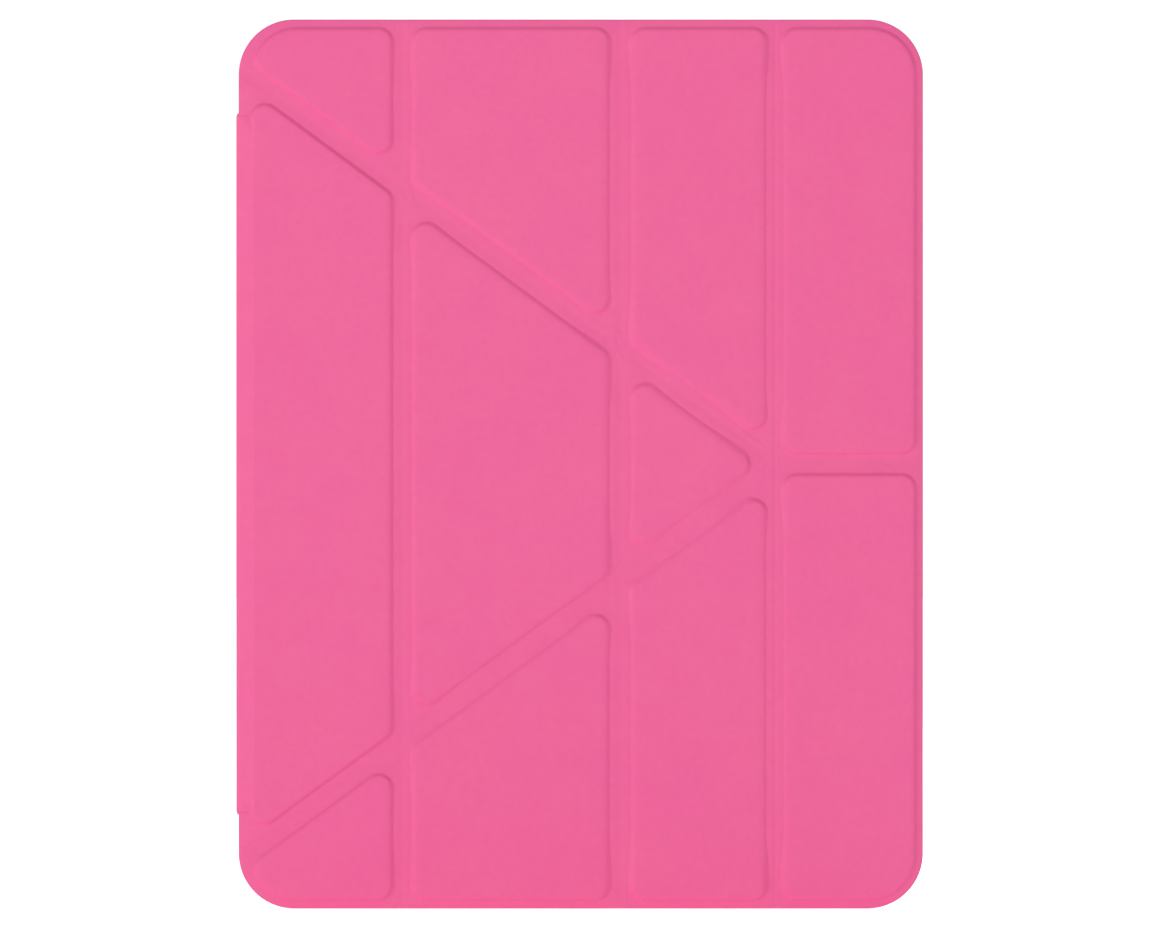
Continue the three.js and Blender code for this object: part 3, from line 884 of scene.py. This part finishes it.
def moulded(name, node, body, material, width):
    """A copy of a frame node with rounded edges of the given width."""
    mesh = frame["nodes"][node].data.copy()
    mesh.name = name
    bm = bmesh.new()
    bm.from_mesh(mesh)
    bmesh.ops.remove_doubles(bm, verts=bm.verts, dist=1e-6)
    bmesh.ops.dissolve_limit(bm, angle_limit=FLAT_ANGLE, verts=bm.verts, edges=bm.edges)
    bm.to_mesh(mesh)
    bm.free()
    mesh.materials.clear()
    mesh.materials.append(material)
    piece = bpy.data.objects.new(name, mesh)
    bpy.context.scene.collection.objects.link(piece)
    bevel = piece.modifiers.new("soft edges", "BEVEL")
    bevel.width = width / MM
    bevel.segments = 3
    bevel.limit_method = "ANGLE"
    bevel.angle_limit = EDGE_ANGLE
    mesh.polygons.foreach_set("use_smooth", [True] * len(mesh.polygons))
    mesh.set_sharp_from_angle(angle=EDGE_ANGLE)
    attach(piece, body)
    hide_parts(node)


moulded("soft_tray", "rear_shell", "shell", TRAY, 0.28)
moulded("power_key", "power_button", "power", BUTTON, 0.22)
moulded("volume_up_key", "volume_up_button", "volume_up", BUTTON, 0.22)
moulded("volume_down_key", "volume_down_button", "volume_down", BUTTON, 0.22)

# ---------------------------------------------------------------- frame nodes that stay
for node_name, node in frame["nodes"].items():
    look = LINING if node_name.endswith("_lining") else STEEL if "_magnet" in node_name else BOARD
    if node_name.endswith(("_board", "spine_lining")) or "_magnet" in node_name:
        node.data.materials.clear()
        node.data.materials.append(look)


# ---------------------------------------------------------------- stage, light and camera
# What the camera sees of the floor's and the sky's glow, and how much of it lights the object.
FLOOR_GLOW = (0.8, 0.42)
SKY_GLOW = (1.05, 0.58)
FLOOR_SIZE, FLOOR_GAP = 14, 0.0004


def by_ray(tree, for_camera, for_light):
    """A level the camera sees, and another one that lights the object."""
    ray = tree.nodes.new("ShaderNodeLightPath")
    level = tree.nodes.new("ShaderNodeMapRange")
    level.inputs["To Min"].default_value = for_light
    level.inputs["To Max"].default_value = for_camera
    tree.links.new(ray.outputs["Is Camera Ray"], level.inputs["Value"])
    return level.outputs["Result"]


def flat_material(name, colour, for_camera, for_light):
    mat = bpy.data.materials.new(name)
    mat.use_nodes = True
    bsdf = mat.node_tree.nodes["Principled BSDF"]
    bsdf.inputs["Base Color"].default_value = (*colour, 1.0)
    bsdf.inputs["Roughness"].default_value = 0.9
    bsdf.inputs["Emission Color"].default_value = (1.0, 1.0, 1.0, 1.0)
    glow = by_ray(mat.node_tree, for_camera, for_light)
    mat.node_tree.links.new(glow, bsdf.inputs["Emission Strength"])
    return mat


bpy.ops.mesh.primitive_plane_add(size=FLOOR_SIZE, location=(0, 0, cad_low.z - FLOOR_GAP))
floor = bpy.context.object
floor.name = "floor"
floor.data.materials.append(flat_material("pale_floor", (0.86, 0.86, 0.86), *FLOOR_GLOW))

world = bpy.data.worlds.new("studio")
world.use_nodes = True
bpy.context.scene.world = world
background = world.node_tree.nodes["Background"]
background.inputs["Color"].default_value = (1.0, 1.0, 1.0, 1.0)
world.node_tree.links.new(by_ray(world.node_tree, *SKY_GLOW), background.inputs["Strength"])


def softbox(name, place, aim, width, height, power):
    data = bpy.data.lights.new(name, "AREA")
    data.shape = "RECTANGLE"
    data.size, data.size_y, data.energy = width, height, power
    light = bpy.data.objects.new(name, data)
    bpy.context.scene.collection.objects.link(light)
    light.location = place
    light.rotation_euler = (Vector(aim) - Vector(place)).to_track_quat("-Z", "Y").to_euler()


softbox("key_softbox", (-1.9, -1.4, 0.06), (0, 0, -0.03), 1.4, 0.36, 14)
softbox("fill_softbox", (0.1, -2.2, 0.1), (0, 0, -0.03), 1.2, 0.46, 6)
softbox("back_softbox", (0.6, 1.8, 0.9), (0, 0, 0), 1.4, 1.0, 11)

# A long lens: the width in metres that the picture shows at the pads' face, and the camera's distance.
FRAME_WIDTH, DISTANCE = 0.3698, 3.0
CAMERA_X = -0.00025
SENSOR = 36.0
camera_data = bpy.data.cameras.new("camera")
camera_data.sensor_width = SENSOR
camera_data.lens = SENSOR * DISTANCE / FRAME_WIDTH
camera_data.clip_start, camera_data.clip_end = 0.05, 60.0
camera = bpy.data.objects.new("camera", camera_data)
bpy.context.scene.collection.objects.link(camera)
camera.location = (CAMERA_X, -DISTANCE - PAD_FACE / MM, 0.0)
camera.rotation_euler = (math.pi / 2, 0.0, 0.0)
bpy.context.scene.camera = camera
bpy.context.scene.view_settings.view_transform = "Standard"
